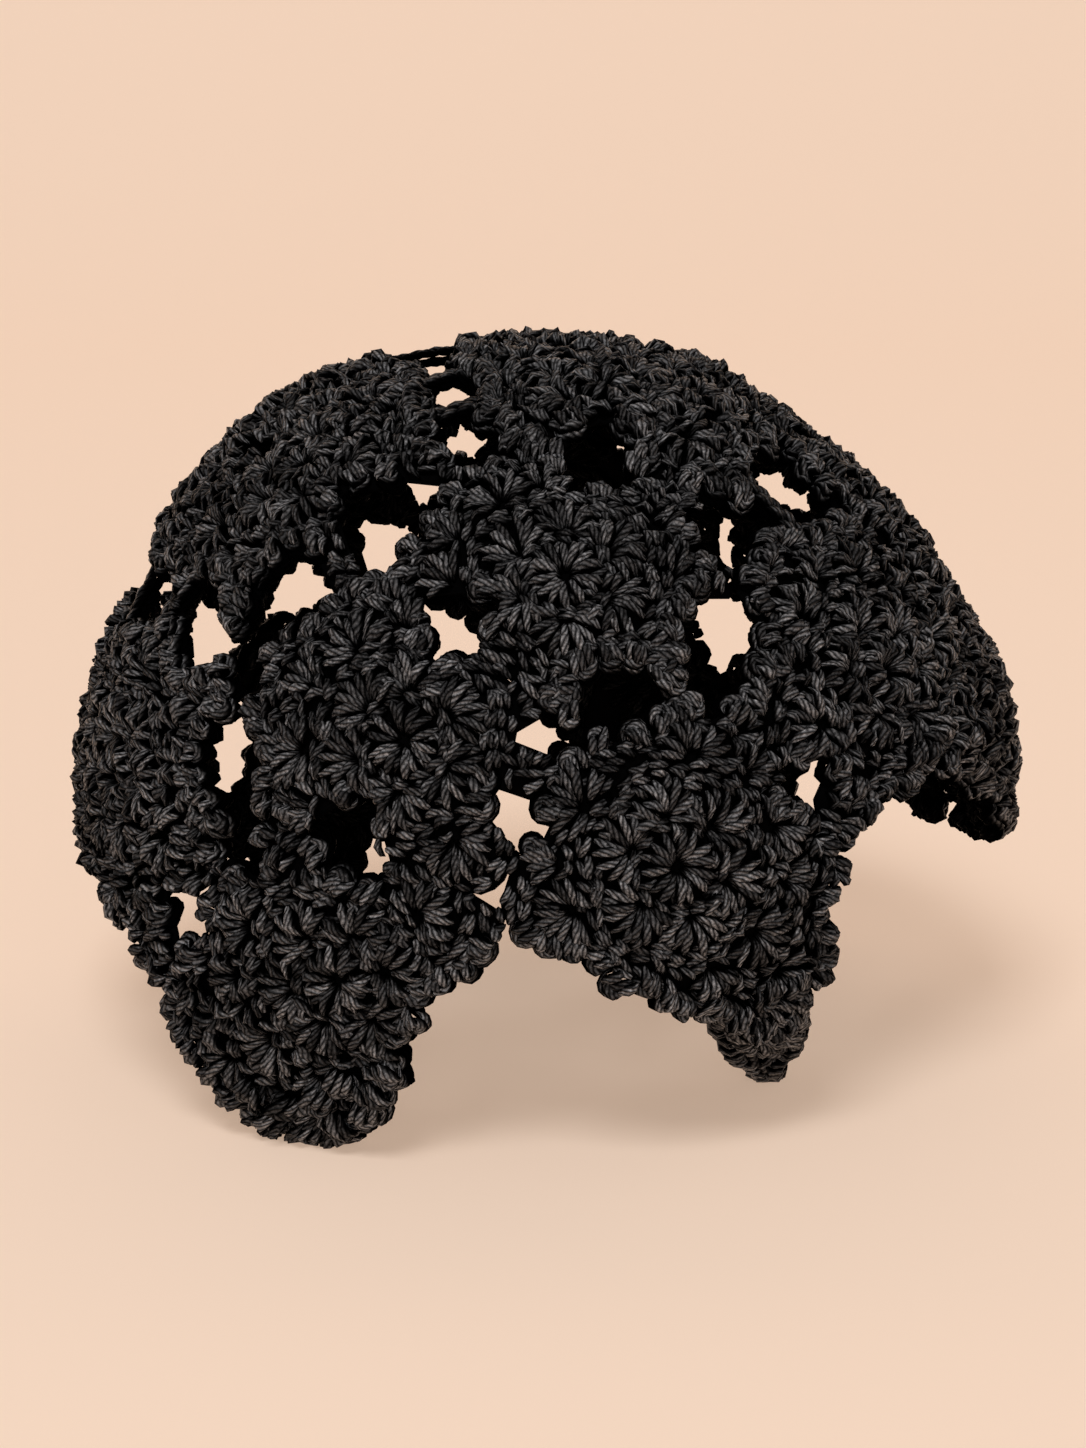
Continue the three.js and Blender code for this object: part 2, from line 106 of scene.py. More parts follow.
# motif: its larger lumps, rows of direction, distance, size and height; lengths in millimetres
BOBBLES = {
    "leg_front_left": [
        (-66, 25, 1.35, 2.4), (-77, 30, 1.45, 2.6), (-93, 26, 1.35, 2.8), (-86, 36, 1.45, 2.2),
        (-97, 41, 1.5, 2.4), (-104, 33, 1.45, 3.0), (-109, 48, 1.5, 1.8), (-116, 40, 1.4, 2.8),
        (-120, 50, 1.45, 1.8), (-129, 43, 1.35, 2.4), (-133, 51, 1.35, 1.6),
    ],
    "leg_front_right": [
        (-66, 46, 1.3, 1.6), (-60, 55, 1.4, 1.6), (-53, 52, 1.45, 2.0), (-45, 48, 1.4, 1.8),
        (-55, 43, 1.35, 2.6),
    ],
    "upper_front": [
        (-46, 36, 1.15, 0.6), (-46, 43, 1.15, 0.3), (93, 35, 1.2, 0.5), (97, 41, 1.2, 0.5),
        (61, 41, 1.2, 0.5),
    ],
    "crown_front": [
        (-146, 31, 1.2, 0.5), (-136, 32, 1.2, 0.5), (-89, 22, 1.2, 0.5), (-91, 29, 1.2, 0.5),
    ],
    "middle_right": [(-80, 22, 1.35, 2.0), (-62, 20, 1.4, 2.4), (-92, 22, 1.3, 1.8)],
    "flap_right": [
        (-36, 45, 1.4, 1.5), (-46, 41, 1.45, 2.0), (-56, 44, 1.4, 1.5), (-62, 36, 1.45, 2.0),
        (-75, 33, 1.45, 1.8),
    ],
}

# motif: rows of direction (0 to the right seen from outside, 90 up) and reach in millimetres
RIM = {
    "leg_front_left": [
        (-190, 60), (-165, 61.5), (-148, 55.5), (-126, 58), (-103, 55.5), (-90, 45), (-75, 36.5),
        (-55, 26.5), (-25, 23), (0, 28), (14, 42), (22, 50),
    ],
    "leg_front_right": [
        (-172, 50), (-160, 44.5), (-144, 36), (-127, 32.5), (-95, 37), (-80, 41), (-66, 53),
        (-56, 67), (-46, 62), (-30, 53), (-22, 45), (-14, 49),
    ],
    "middle_right": [(-125, 46), (-112, 36), (-95, 29.5), (-65, 29.5), (-45, 34), (-30, 45)],
    "side_left": [
        (-175, 42), (-150, 33), (-136, 30), (-109, 31), (-93, 34), (-84, 38),
        (-73, 37), (-67, 52), (-52, 52), (-46, 40), (-35, 42),
    ],
    "flap_right": [
        (-170, 44), (-150, 33), (-125, 31), (-100, 33), (-64, 44), (-50, 53), (-36, 51),
        (-20, 44),
    ],
    "back_right": [(-135, 70), (-122, 66), (-105, 57.5), (-95, 53), (-85, 47)],
    "back_middle": [(150, 50), (160, 56), (200, 56), (212, 50)],
    "leg_back_right": [
        (-195, 38), (-172, 34), (-140, 36), (-110, 52), (-90, 60), (-70, 54), (-45, 44),
    ],
    "leg_back_left": [
        (-180, 46), (-140, 36), (-98, 32), (-86, 57), (-70, 66), (-52, 59), (-35, 42),
    ],
    "back_left": [(-140, 44), (-90, 36), (-60, 32), (-35, 40)],
}

# azimuth, latitude, spread in degrees, height in millimetres
SWELLS = [
    (-52, -24, 20, 8),
    (-108, 60, 20, 4.5),
    (-150, 80, 20, -2),
    (100, 47, 16, -4.5),
    (93, 12, 12, 0.8),
    (-88, 15, 16, 0.8),
    (135, 68, 16, 2),
]

# motif, direction, half width in degrees, lift in millimetres
CURLS = [
    ("middle_right", -48, 42, 9),
    ("flap_right", -150, 60, -10),
    ("leg_front_right", -60, 40, -4),
]

# name, and azimuth and latitude of each end
CHAINS = [
    ("chain_top_back", (-109, 66), (-148, 79)),
    ("chain_top_middle", (-57, 69), (-38, 82)),
    ("chain_top_front", (-36.5, 64), (-15, 71.5)),
    ("chain_left_back", (-82, 42), (-78, 18)),
    ("chain_left_front", (-62, 38), (-67, 24)),
    ("chain_right", (38, 59), (47, 42)),
]

# The folded leg: a pointed tongue whose long edges roll upwards.
TONGUE_TOP = np.array([50, -97, 42]) * MM
TONGUE_FOOT = np.array([57.5, -35, -1.5]) * MM
TONGUE_HALF_WIDTH = 16 * MM
TONGUE_TIP = 3 * MM  # its least half width, from where its edge is looked for
TONGUE_SHOULDER, TONGUE_SWELL = 0.55, 0.45  # shares of the half width: at its top, and added
TONGUE_WIDEST = 0.7  # share of its length where it stops swelling
TONGUE_END = 0.02  # share of its length that is left bare at each end
TONGUE_ROLL = 16 * MM
TONGUE_TURNS, TONGUE_SEED = (0, 30), 40
CHAIN_SEED = 60

THETAS = np.radians(np.arange(360))


def frame_at(azimuth, latitude):
    """The direction of an azimuth and latitude, with the level and the upward direction there."""
    a, l = math.radians(azimuth), math.radians(latitude)
    out = np.array([math.cos(l) * math.sin(a), -math.cos(l) * math.cos(a), math.sin(l)])
    level = np.array([math.cos(a), math.sin(a), 0.0])
    return np.array([out, level, np.cross(out, level)])


def direction_from(axes, distance, theta):
    """The directions that are reached from a frame by going a distance along the dome."""
    arc = np.asarray(distance)[..., None] / DOME_RADIUS
    theta = np.asarray(theta)[..., None]
    along = axes[1] * np.cos(theta) + axes[2] * np.sin(theta)
    return axes[0] * np.cos(arc) + along * np.sin(arc)


def angle_between(a, b):
    return np.arccos(np.clip(a @ b, -1, 1))


def all_gaps(stars):
    """Rows of frame, half length along, half length across and turn: the table's and the rule's."""
    gaps = [
        (frame_at(a, l), along * MM, across * MM, math.radians(turn))
        for a, l, along, across, turn in GAPS
    ]
    shown = {row[0]: row[4] for row in MOTIFS}
    names = list(stars)
    for i, first in enumerate(names):
        for second in names[i + 1:]:
            a, b = stars[first][0], stars[second][0]
            middle = (a + b) / np.linalg.norm(a + b)
            apart = angle_between(middle, a)
            nearest = min(angle_between(middle, axes[0]) for axes in stars.values())
            if shown[first] and shown[second]:
                continue
            if 2 * apart > math.radians(SEAM_LIMIT) or nearest < apart - 1e-6:
                continue
            level = (b - a) / np.linalg.norm(b - a)
            axes = np.array([middle, level, np.cross(middle, level)])
            gaps.append((axes, EYELET_ALONG, EYELET_ACROSS, math.pi / 2))
    return gaps


def inside_gap(gap, direction):
    axes, along_half, across_half, turn = gap
    x = direction @ axes[1] * DOME_RADIUS
    y = direction @ axes[2] * DOME_RADIUS
    along = x * math.cos(turn) + y * math.sin(turn)
    across = y * math.cos(turn) - x * math.sin(turn)
    inside = (along / along_half) ** 2 + (across / across_half) ** 2 < 1
    return inside & (direction @ axes[0] > SAME_SIDE)


def free_reach(name, reach):
    """How far a motif's lobes reach in each whole degree where nothing stops them."""
    base = np.full(360, reach)
    rows = RIM.get(name)
    if rows:
        first, last = rows[0][0], rows[-1][0]
        turned = first + (np.arange(360) - first) % 360
        table = np.interp(turned, [row[0] for row in rows], [row[1] * MM for row in rows])
        base = np.where(turned < last, table, base)
    return base - LOBE_DEPTH * (0.5 - 0.5 * np.cos(LOBES * THETAS))


def seam_reach(name, stars):
    """How far it is in each whole degree to the seams with the neighbours."""
    axes = stars[name]
    reach = np.full(360, FAR)
    for other, towards in stars.items():
        apart = angle_between(axes[0], towards[0])
        if other == name or apart > math.radians(SEAM_LIMIT + SEAM_SEARCH):
            continue
        theta = math.atan2(axes[2] @ towards[0], axes[1] @ towards[0])
        facing = np.cos(THETAS - theta)
        distance = DOME_RADIUS * np.arctan(math.tan(apart / 2) / np.maximum(facing, GRAZING))
        reach = np.where(facing > GRAZING, np.minimum(reach, distance), reach)
    return reach


def without_spikes(edge):
    """An edge without the spikes between two gaps that are too narrow to be worked."""
    shifts = range(-SPIKE_HALF, SPIKE_HALF + 1)
    low = np.min([np.roll(edge, k) for k in shifts], axis=0)
    return np.max([np.roll(low, k) for k in shifts], axis=0)


def edge_reach(axes, reach, gaps):
    """How far a motif reaches in each whole degree: to its lobes, its seams or the first gap."""
    distances = np.arange(EDGE_START, reach.max(), EDGE_STEP)
    grid_r, grid_t = np.meshgrid(distances, THETAS)
    directions = direction_from(axes, grid_r, grid_t)
    stopped = np.zeros(grid_r.shape, bool)
    for gap in gaps:
        stopped |= inside_gap(gap, directions)
    first = np.where(stopped.any(1), distances[stopped.argmax(1)], FAR)
    return without_spikes(np.minimum(reach, first))


def swell_at(direction):
    height = np.zeros(direction.shape[:-1])
    for azimuth, latitude, spread, lift in SWELLS:
        away = angle_between(direction, frame_at(azimuth, latitude)[0]) / math.radians(spread)
        height += lift * MM * np.exp(-away * away)
    return height


def curl_at(name, theta, share):
    lift = np.zeros(theta.shape)
    for motif, direction, width, height in CURLS:
        if motif != name:
            continue
        away = np.abs((theta - math.radians(direction) + math.pi) % (2 * math.pi) - math.pi)
        part = np.where(away < math.radians(width), 0.5 + 0.5 * np.cos(180 / width * away), 0)
        lift += height * MM * part * np.minimum(share, CURL_REACH) ** 2
    return lift


def around(table, theta):
    """A table with a value for each whole degree, read at any angles."""
    return np.interp(np.degrees(theta) % 360, np.arange(361), np.append(table, table[0]))


def left_of(vectors):
    """Flat vectors turned by a quarter to the left."""
    return np.stack([-vectors[:, 1], vectors[:, 0]], axis=1)


SEAM_MARGIN = -0.6 * MM  # below 0, so that strands reach past the seams with the neighbours
CELL = 0.5 * MM  # of the grid that says which ground is covered
OUTLINE_STEP = 1.2 * MM


class Plate:
    """One piece of the lace: a flat pattern (x, y, height) and where the pattern lies in space."""

    def __init__(self, name, edge, free, place, turns, seed):
        self.name = name
        self.edge = edge
        self.free = free
        self.place = place
        self.turns = turns
        self.random = np.random.default_rng(seed)
        self.yarn = Yarn()
        self.half_cells = int(edge.max() / CELL) + 4
        self.covered = np.zeros((2 * self.half_cells, 2 * self.half_cells), bool)

    def reach(self, theta, margin):
        """How far the pattern may go in a direction: a margin inside free edges, up to seams."""
        free = around(self.free, theta)
        return around(self.edge, theta) - SEAM_MARGIN * (1 - free) - margin * free

    def inside(self, points, margin):
        r = np.hypot(points[..., 0], points[..., 1])
        return r < self.reach(np.arctan2(points[..., 1], points[..., 0]), margin)

    def cells(self, points):
        return np.clip((points / CELL + self.half_cells).astype(int), 0, 2 * self.half_cells - 1)

    def cover(self, points, radius):
        """Marks the ground within a radius of points (any shape, xy) as covered."""
        steps = np.arange(-radius, radius + CELL / 2, CELL)
        dx, dy = np.meshgrid(steps, steps)
        near = dx ** 2 + dy ** 2 <= radius ** 2
        disc = np.stack([dx[near], dy[near]], axis=1)
        at = self.cells(points.reshape(-1, 1, 2) + disc)
        self.covered[at[..., 1], at[..., 0]] = True

    def outline(self, inset):
        """The edge as a closed path in the flat pattern, drawn in by an inset."""
        smooth = (np.roll(self.edge, 1) + 2 * self.edge + np.roll(self.edge, -1)) / 4
        path = smooth[:, None] * np.stack([np.cos(THETAS), np.sin(THETAS)], axis=1)
        path = evenly(path, OUTLINE_STEP, closed=True)
        tangent = np.roll(path, -2, axis=0) - np.roll(path, 2, axis=0)
        tangent /= np.linalg.norm(tangent, axis=1)[:, None] + 1e-12
        return path + left_of(tangent) * inset


RELIEF_MEAN = -1.0 * MM
RELIEF = 1.2 * MM
RELIEF_SHARE = 0.7  # of each of the two sets of bumps
RELIEF_WAVE = 1.85 * MM  # the coarse bumps' wavelength over a full turn
RELIEF_FINE = 0.75 * RELIEF_WAVE
RELIEF_SEED = 1000


def puffed(x, y, seed):
    """The uneven height of the work: soft bumps as wide as a fan, different in each motif."""
    a, b, c = np.random.default_rng(RELIEF_SEED + seed).uniform(0, 2 * np.pi, 3)
    coarse = np.sin(x / RELIEF_WAVE + a) * np.sin(y / RELIEF_WAVE + b)
    fine = np.sin((x + y) / RELIEF_FINE + c) * np.sin((x - y) / RELIEF_FINE + a)
    return RELIEF_MEAN + RELIEF * (RELIEF_SHARE * coarse + RELIEF_SHARE * fine)


def motif_place(name, axes, reach, seam, seed):
    """The function that lays a motif's flat pattern on the dome."""
    def place(x, y, height):
        height = height + puffed(x, y, seed)
        distance, theta = np.hypot(x, y), np.arctan2(y, x)
        direction = direction_from(axes, distance, theta)
        share = distance / np.minimum(around(seam, theta), reach)
        crown = MOTIF_CROWN * (1 - np.minimum(share, 1) ** 2)
        radius = DOME_RADIUS + crown + swell_at(direction) + curl_at(name, theta, share) + height
        return DOME_CENTRE + direction * radius[..., None]
    return place


def motif_plates():
    """A plate for each motif of the dome."""
    stars = {row[0]: frame_at(row[1], row[2]) for row in MOTIFS}
    gaps = all_gaps(stars)
    edges, places, plates = {}, {}, []
    for seed, (name, _, _, reach, *_) in enumerate(MOTIFS):
        seam = seam_reach(name, stars)
        free = free_reach(name, reach * MM)
        edge = edge_reach(stars[name], np.minimum(free, seam - JOIN_GAP / 2), gaps)
        edges[name] = edge
        places[name] = motif_place(name, stars[name], reach * MM, seam, seed)
    for seed, (name, _, _, _, _, *turns) in enumerate(MOTIFS):
        free = free_edge(name, stars, edges)
        plates.append(Plate(name, edges[name], free, places[name], turns, seed))
    return plates


def free_edge(name, stars, edges):
    """1 in each whole degree where no neighbour lies beyond the edge, 0 where one does."""
    beyond = direction_from(stars[name], edges[name] + PROBE, THETAS)
    met = np.zeros(360, bool)
    for other, axes in stars.items():
        if other == name:
            continue
        distance = DOME_RADIUS * np.arccos(np.clip(beyond @ axes[0], -1, 1))
        theta = np.arctan2(beyond @ axes[2], beyond @ axes[1])
        met |= distance < around(edges[other], theta)
    free = (~met).astype(float)
    width = 2 * FREE_BLUR + 1
    closed = np.concatenate([free[-FREE_BLUR:], free, free[:FREE_BLUR]])
    return np.convolve(closed, np.ones(width) / width, "valid")


def tongue_half_width(share):
    swell = np.sin(np.pi * np.minimum(share / TONGUE_WIDEST, 1) * 0.5)
    upper = TONGUE_SHOULDER + TONGUE_SWELL * swell
    return np.maximum(TONGUE_TIP, TONGUE_HALF_WIDTH * upper * (1 - share ** 2))


def tongue_plate():
    """The plate of the folded leg, which runs down from its top to its foot."""
    run = TONGUE_FOOT - TONGUE_TOP
    length = np.linalg.norm(run)
    along = run / length
    level = np.array([1.0, 0.0, 0.0])
    under = np.cross(along, level)
    under /= np.linalg.norm(under)

    def place(x, y, height):
        share = 0.5 - y / length
        bend = x / TONGUE_ROLL
        radius = (TONGUE_ROLL + height)[..., None]
        cosine, sine = np.cos(bend)[..., None], np.sin(bend)[..., None]
        middle = TONGUE_TOP + run * share[..., None] - under * TONGUE_ROLL
        return middle + under * radius * cosine + level * radius * sine

    distances = np.arange(TONGUE_TIP, length, EDGE_STEP)
    grid_r, grid_t = np.meshgrid(distances, THETAS)
    share = 0.5 - grid_r * np.sin(grid_t) / length
    outside = np.abs(grid_r * np.cos(grid_t)) > tongue_half_width(np.clip(share, 0, 1))
    outside |= (share < TONGUE_END) | (share > 1 - TONGUE_END)
    edge = distances[outside.argmax(1)]
    return Plate("leg_front_folded", edge, np.ones(360), place, TONGUE_TURNS, TONGUE_SEED)


def evenly(path, step, closed=False):
    """A path as points at even steps along it."""
    if closed:
        path = np.vstack([path, path[:1]])
    lengths = np.linalg.norm(np.diff(path, axis=0), axis=1)
    run = np.concatenate([[0], np.cumsum(lengths)])
    count = max(2, round(run[-1] / step))
    at = np.linspace(0, run[-1], count, endpoint=not closed)
    return np.stack([np.interp(at, run, path[:, i]) for i in range(path.shape[1])], axis=1)


def tangents(points):
    """The unit directions along a row of points."""
    tangent = np.gradient(points, axis=0)
    return tangent / (np.linalg.norm(tangent, axis=1)[:, None] + 1e-12)


def stations(count):
    """Shares along a strand, closer together towards its ends."""
    return 0.5 - 0.5 * np.cos(np.pi * np.arange(count) / (count - 1))


# The shape and tone of one strand, and the shade painted on it.
BLUNT = 0.55  # below 1 a strand's ends are blunter
FLAT = 0.85  # a strand's height as a share of its width
ARCH = 0.6  # below 1 a strand's arch is flatter on top and steeper at its ends
WIND_START = 20  # millimetres along the threads within which a strand starts
SHADE_HEIGHT_FROM, SHADE_HEIGHT_TO = -0.2 * MM, 2.6 * MM  # heights between which the painted shade on low-lying strands fades out
INNER_SHADE_KEPT = 0.5  # painted shade: how much of its tone a strand keeps on the inner side
SIDE_SHADE_KEPT = 0.15  # painted shade: how much of its tone a strand keeps on its side
CREST = 0.85  # how far up its side, from 0 to 1, a strand has its full tone, free of painted shade

# Stations along a strand and sides round it.
LEAF_MESH = (7, 6)
STITCH_MESH = (5, 6)
KNOB_MESH = (6, 6)
LOOP_MESH = (11, 6)  # of the arcs round a lump

# How irregular the strands are, and when one that meets an edge is kept.
STRAY, STRAY_HEIGHT, STRAY_BOW = 0.32 * MM, 0.3 * MM, 0.06
WIDTHS = (0.88, 1.14)
CALM = 0.6  # how irregular the star and the chains are beside the rest
EDGE_SAMPLES = 11
KEPT_SHARE, KEPT_LENGTH = 0.45, 2.5 * MM
COVER_SHARE = 0.85  # of a strand's half width, as the ground that it covers

# The crochet pattern, in flat motif coordinates. An arch is a strand's heights: the start's, the
# top's and the end's.
LEAF_HALF = 1.42 * MM
LEAF_LEAN = 1.4  # above 1 a leaf is widest past its middle
STITCH_HALF = 1.36 * MM
STITCH_STEP = 4.4 * MM
FAN_MARGIN = 5.2 * MM  # how far the pattern stays inside a free edge
STAR_LEAVES = 14
STAR_START, STAR_END = 0.9 * MM, 9.0 * MM
STAR_HALF = LEAF_HALF * 0.97
STAR_ARCH = (-0.6 * MM, 3.0 * MM, 1.2 * MM)
STAR_STRAY = 3  # degrees
STAR_RING = (10.4 * MM, 0, 345)  # radius, and from where to where
STAR_BRAID = (1.0 * MM, 1.3 * MM)  # height and half width
FANS = 6
FAN_LEAVES = 9
FAN_SPREAD = 185
FAN_START, FAN_LENGTH = 0.7 * MM, 10.4 * MM
FAN_LENGTHS = (0.92, 1.06)
FAN_DROOP = 0.5  # how much shorter a leaf is, times its squared place from -0.5 to 0.5
FAN_ROOM = 2.5 * MM  # the least length that a fan needs
FAN_ARCH = (-1.0 * MM, 3.1 * MM, 1.3 * MM)
FAN_STRAY = 3  # degrees
ROUND_TWO, ROUND_THREE, ROUND_FOUR = 11.3 * MM, 26 * MM, 41 * MM
# Radius, stray in degrees, and how far past the leaves and to each side a fan's ring goes.
ROUNDS = ((ROUND_TWO, 4, 1.4 * MM, 60), (ROUND_THREE, 5, 1.6 * MM, 75))
RING_BRAID = (1.5 * MM, 1.4 * MM)
SMALL_FAN_RADIUS = 27.5 * MM  # of the fans between those of round three
SMALL_FAN = (5, 80, 9 * MM)  # leaves, spread and length
ROUND_FOUR_FANS, ROUND_FOUR_TURN, ROUND_FOUR_STRAY = 9, 20, 4
BRAID_ARCH = (-0.8 * MM, 0.9 * MM, -0.6 * MM)
BRAID_BACK, BRAID_AHEAD, BRAID_CLOSE = 0.35, 0.85, 0.15  # shares of a step, and of its half width
FILL_MARGIN = FAN_MARGIN - 1 * MM
FILL_WAYS = 8
FILL_SAMPLES, FILL_STEP = 5, 1.1  # samples to each side, and cells between them
FILL_CROWDED = 15  # most covered cells of the 25 nearest
FILL_CHOICE = 1.5  # how far chance decides between two ways
FILL_HALF_LENGTH = (2.2, 3.2)  # millimetres
FILL_COVER = 1.1 * MM
FILL_ARCH = (0.3 * MM, 2.4 * MM, 0.7 * MM)
FILL_BOW = 0.14
ROW_INSET, ROW_HALF = 5.6 * MM, 1.45 * MM
ROW_HEIGHTS = ((1.4 * MM, 1), (1.2 * MM, -1))  # height of the row along an edge, and its side

# The lumps along the edges.
KNOB_HALF = 1.45 * MM
KNOB_INSET = 2.7 * MM
KNOB_STEP = 6.3 * MM
KNOB_STRAY, KNOB_STRAY_HEIGHT = (0.5 * MM, 0.6 * MM), 0.4 * MM  # along and out, and in height
KNOB_SIZES = (0.8, 1.32)
LUMP_TURN = (-0.22, 1.22)  # from where to where an arc goes round, in half turns
LUMP_ARCS = ((1.7 * MM, 2.0 * MM), (0, 2.7 * MM), (-1.8 * MM, 2.0 * MM))  # heights and radii
LUMP_LONG = 1.1  # how much longer than wide a lump is along the edge
LUMP_TILT = 0.6 * MM
LUMP_WIDTHS = (0.95, 1.2)
LUMP_STRANDS = ((1, -1), (1, 0.1), (1, 1), (-1, -0.6), (-1, 0.6))  # side, and place across
LUMP_ARCH = (1.0 * MM, 3.4 * MM, 1.3 * MM)
LUMP_START, LUMP_START_SPREAD = 2.9, 1.3  # millimetres at size 1
LUMP_END, LUMP_END_ROUND, LUMP_END_SPREAD = 1.9, 0.4, 1.9

# The inner side: radius and count of its star and fans, and the directions of their leaves.
INNER_ROUNDS = ((0.5 * MM, 1), (ROUND_TWO, FANS), (ROUND_THREE, FANS))
INNER_STAR, INNER_FAN = np.linspace(0, 330, 12), np.linspace(-90, 90, 7)
INNER_START = 0.8 * MM
# A leaf's arch, half width, mesh and margin.
INNER_LEAF = ((-1.2 * MM, -3.4 * MM, -2.0 * MM), LEAF_HALF * 1.2, (5, 5), 5 * MM)
INNER_RING = (0.5 * MM, 357)  # how far past the leaves, and how far round
# Height, half width, margin, side, step and half the width of a stitch.
INNER_BRAID = (1.9 * MM, 1.6 * MM, 5 * MM, -1, 5 * MM, STITCH_HALF * 1.25)

# The chains: four rows of strands, each with its lean and side.
CHAIN_ROOM = 0.1  # more than the length of a chain
CHAIN_TUCK = 3.5 * MM  # how far a chain goes on inside the motifs at its ends
CHAIN_STEP = 4.4 * MM
CHAIN_HALF = 1.65 * MM
CHAIN_ROWS = ((1, 1), (-1, -1), (-1, 1), (1, -1))
CHAIN_BACK, CHAIN_AHEAD = 0.6, 0.8  # shares of a step
CHAIN_WIDE, CHAIN_CLOSE = 1.7 * MM, 0.2 * MM  # its strands' ends, from its middle
CHAIN_ARCH = (0.5 * MM, 1.2 * MM, 0.7 * MM)


class Yarn:
    """The strands of one piece: spindles along short paths of the flat pattern."""

    def __init__(self):
        self.vertices, self.triangles = [], []
        self.round, self.tone, self.depth = [], [], []
        self.count = 0

    def add(self, paths, width, sides, random, flat=FLAT, lean=1.0, sunk=True):
        """Strands along paths (strand, station, xyz); width is half the widest, one per strand."""
        strands, count, _ = paths.shape
        if not strands:
            return
        share = stations(count)
        profile = np.sin(np.pi * share ** lean) ** BLUNT
        half = np.asarray(width)[:, None] * profile
        tangent = np.gradient(paths, axis=1)
        tangent /= np.linalg.norm(tangent, axis=2)[..., None] + 1e-12
        side = np.cross(tangent, [0, 0, 1.0])
        side /= np.linalg.norm(side, axis=2)[..., None] + 1e-9
        up = np.cross(side, tangent)
        angle = np.linspace(0, 2 * np.pi, sides, endpoint=False)
        ring = side[:, 1:-1, None] * np.cos(angle)[:, None]
        ring = ring + up[:, 1:-1, None] * (flat * np.sin(angle))[:, None]
        ring = paths[:, 1:-1, None] + ring * half[:, 1:-1, None, None]
        ring = ring.reshape(strands, -1, 3)
        vertices = np.concatenate([paths[:, :1], ring, paths[:, -1:]], axis=1)
        length = np.linalg.norm(np.diff(paths, axis=1), axis=2).sum(1)
        along = random.uniform(0, WIND_START, strands)[:, None] + length[:, None] * share / MM
        spin = random.uniform(0, 2 * np.pi, strands)[:, None, None] + angle
        spin = np.broadcast_to(spin, (strands, count - 2, sides))
        wound = np.broadcast_to(along[:, 1:-1, None], spin.shape)
        middle = np.stack([np.cos(spin), np.sin(spin), wound], axis=3).reshape(strands, -1, 3)
        pole = np.zeros((strands, 2, 3))
        pole[:, 0, 2] = along[:, 0]
        pole[:, 1, 2] = along[:, -1]
        rounds = np.concatenate([pole[:, :1], middle, pole[:, 1:]], axis=1)
        each = vertices.shape[1]
        template = spindle_triangles(count - 2, sides)
        offset = self.count + np.arange(strands) * each
        self.vertices.append(vertices.reshape(-1, 3))
        self.triangles.append((template[None] + offset[:, None, None]).reshape(-1, 3))
        self.round.append(rounds.reshape(-1, 3))
        self.tone.append(np.repeat(random.uniform(0, 1, strands), each))
        # Painted shade, kept as a share of the tone: darker where a strand lies low, on the inner
        # side and down its sides.
        height = np.abs(vertices[..., 2])
        unshaded = np.clip((height - SHADE_HEIGHT_FROM) / (SHADE_HEIGHT_TO - SHADE_HEIGHT_FROM), 0, 1)
        if not sunk:
            unshaded = np.ones(height.shape)
        facing = np.sin(angle) * np.sign(paths[:, count // 2, 2])[:, None]
        crest = np.clip(SIDE_SHADE_KEPT + (1 - SIDE_SHADE_KEPT) * facing / CREST, 0, 1)
        unshaded = np.where(paths[:, count // 2, 2, None] < 0, INNER_SHADE_KEPT, 1) * unshaded
        unshaded[:, 1:-1] *= np.tile(crest, count - 2)
        self.depth.append(unshaded.ravel())
        self.count += strands * each


def spindle_triangles(rings, sides):
    """The triangles of a spindle: a first point, rings of points and a last point."""
    rows = []
    last = rings * sides + 1
    for j in range(sides):
        k = (j + 1) % sides
        rows.append((0, 1 + k, 1 + j))
        for ring in range(rings - 1):
            a, b = 1 + ring * sides + j, 1 + ring * sides + k
            rows.append((a, b, b + sides))
            rows.append((a, b + sides, a + sides))
        rows.append((last, 1 + (rings - 1) * sides + j, 1 + (rings - 1) * sides + k))
    return np.array(rows)


def bent_paths(start, end, bend, heights, count):
    """Paths from start to end (strand, xy) that bend sideways and arch over the heights."""
    low, high, last = heights
    t = stations(count)[None, :, None]
    run = end - start
    flat = start[:, None] + run[:, None] * t
    flat = flat + left_of(run)[:, None] * bend[:, None, None] * np.sin(np.pi * t)
    t = t[..., 0]
    height = low[:, None] * (1 - t) + last[:, None] * t
    height = height + (high - (low + last) / 2)[:, None] * np.sin(np.pi * t) ** ARCH
    return np.concatenate([flat, height[..., None]], axis=2)


def leaves(plate, start, end, arch, half, mesh, margin, loose=1.0, bow=STRAY_BOW, **shape):
    """Adds strands from start to end, a little irregular, held inside the plate's edge."""
    random = plate.random
    strands = len(start)
    count, sides = mesh
    start = start + random.normal(0, STRAY * loose, start.shape)
    end = end + random.normal(0, STRAY * loose, end.shape)
    heights = [h + random.normal(0, STRAY_HEIGHT * loose, strands) for h in arch]
    widths = half * random.uniform(*WIDTHS, strands)
    bends = random.normal(0, bow, strands)
    if margin is not None:
        shares = np.linspace(0, 1, EDGE_SAMPLES)
        samples = start[:, None] + (end - start)[:, None] * shares[:, None]
        outside = ~plate.inside(samples, margin)
        whole = np.where(outside.any(1), shares[outside.argmax(1)], 1)
        length = np.linalg.norm(end - start, axis=1)
        kept = (whole > KEPT_SHARE) & (whole * length > KEPT_LENGTH)
        end = start + (end - start) * whole[:, None]
        start, end, bends, widths = start[kept], end[kept], bends[kept], widths[kept]
        heights = [h[kept] for h in heights]
    paths = bent_paths(start, end, bends, heights, count)
    plate.yarn.add(paths, widths, sides, random, **shape)
    if np.sum(heights[1]) > 0:  # on the outer side
        finer = (paths[:, 1:, :2] + paths[:, :-1, :2]) / 2
        plate.cover(np.concatenate([paths[..., :2], finer], axis=1), half * COVER_SHARE)


def polar(radius, degrees):
    a = np.radians(degrees)
    return np.stack([radius * np.cos(a), radius * np.sin(a)], axis=-1)


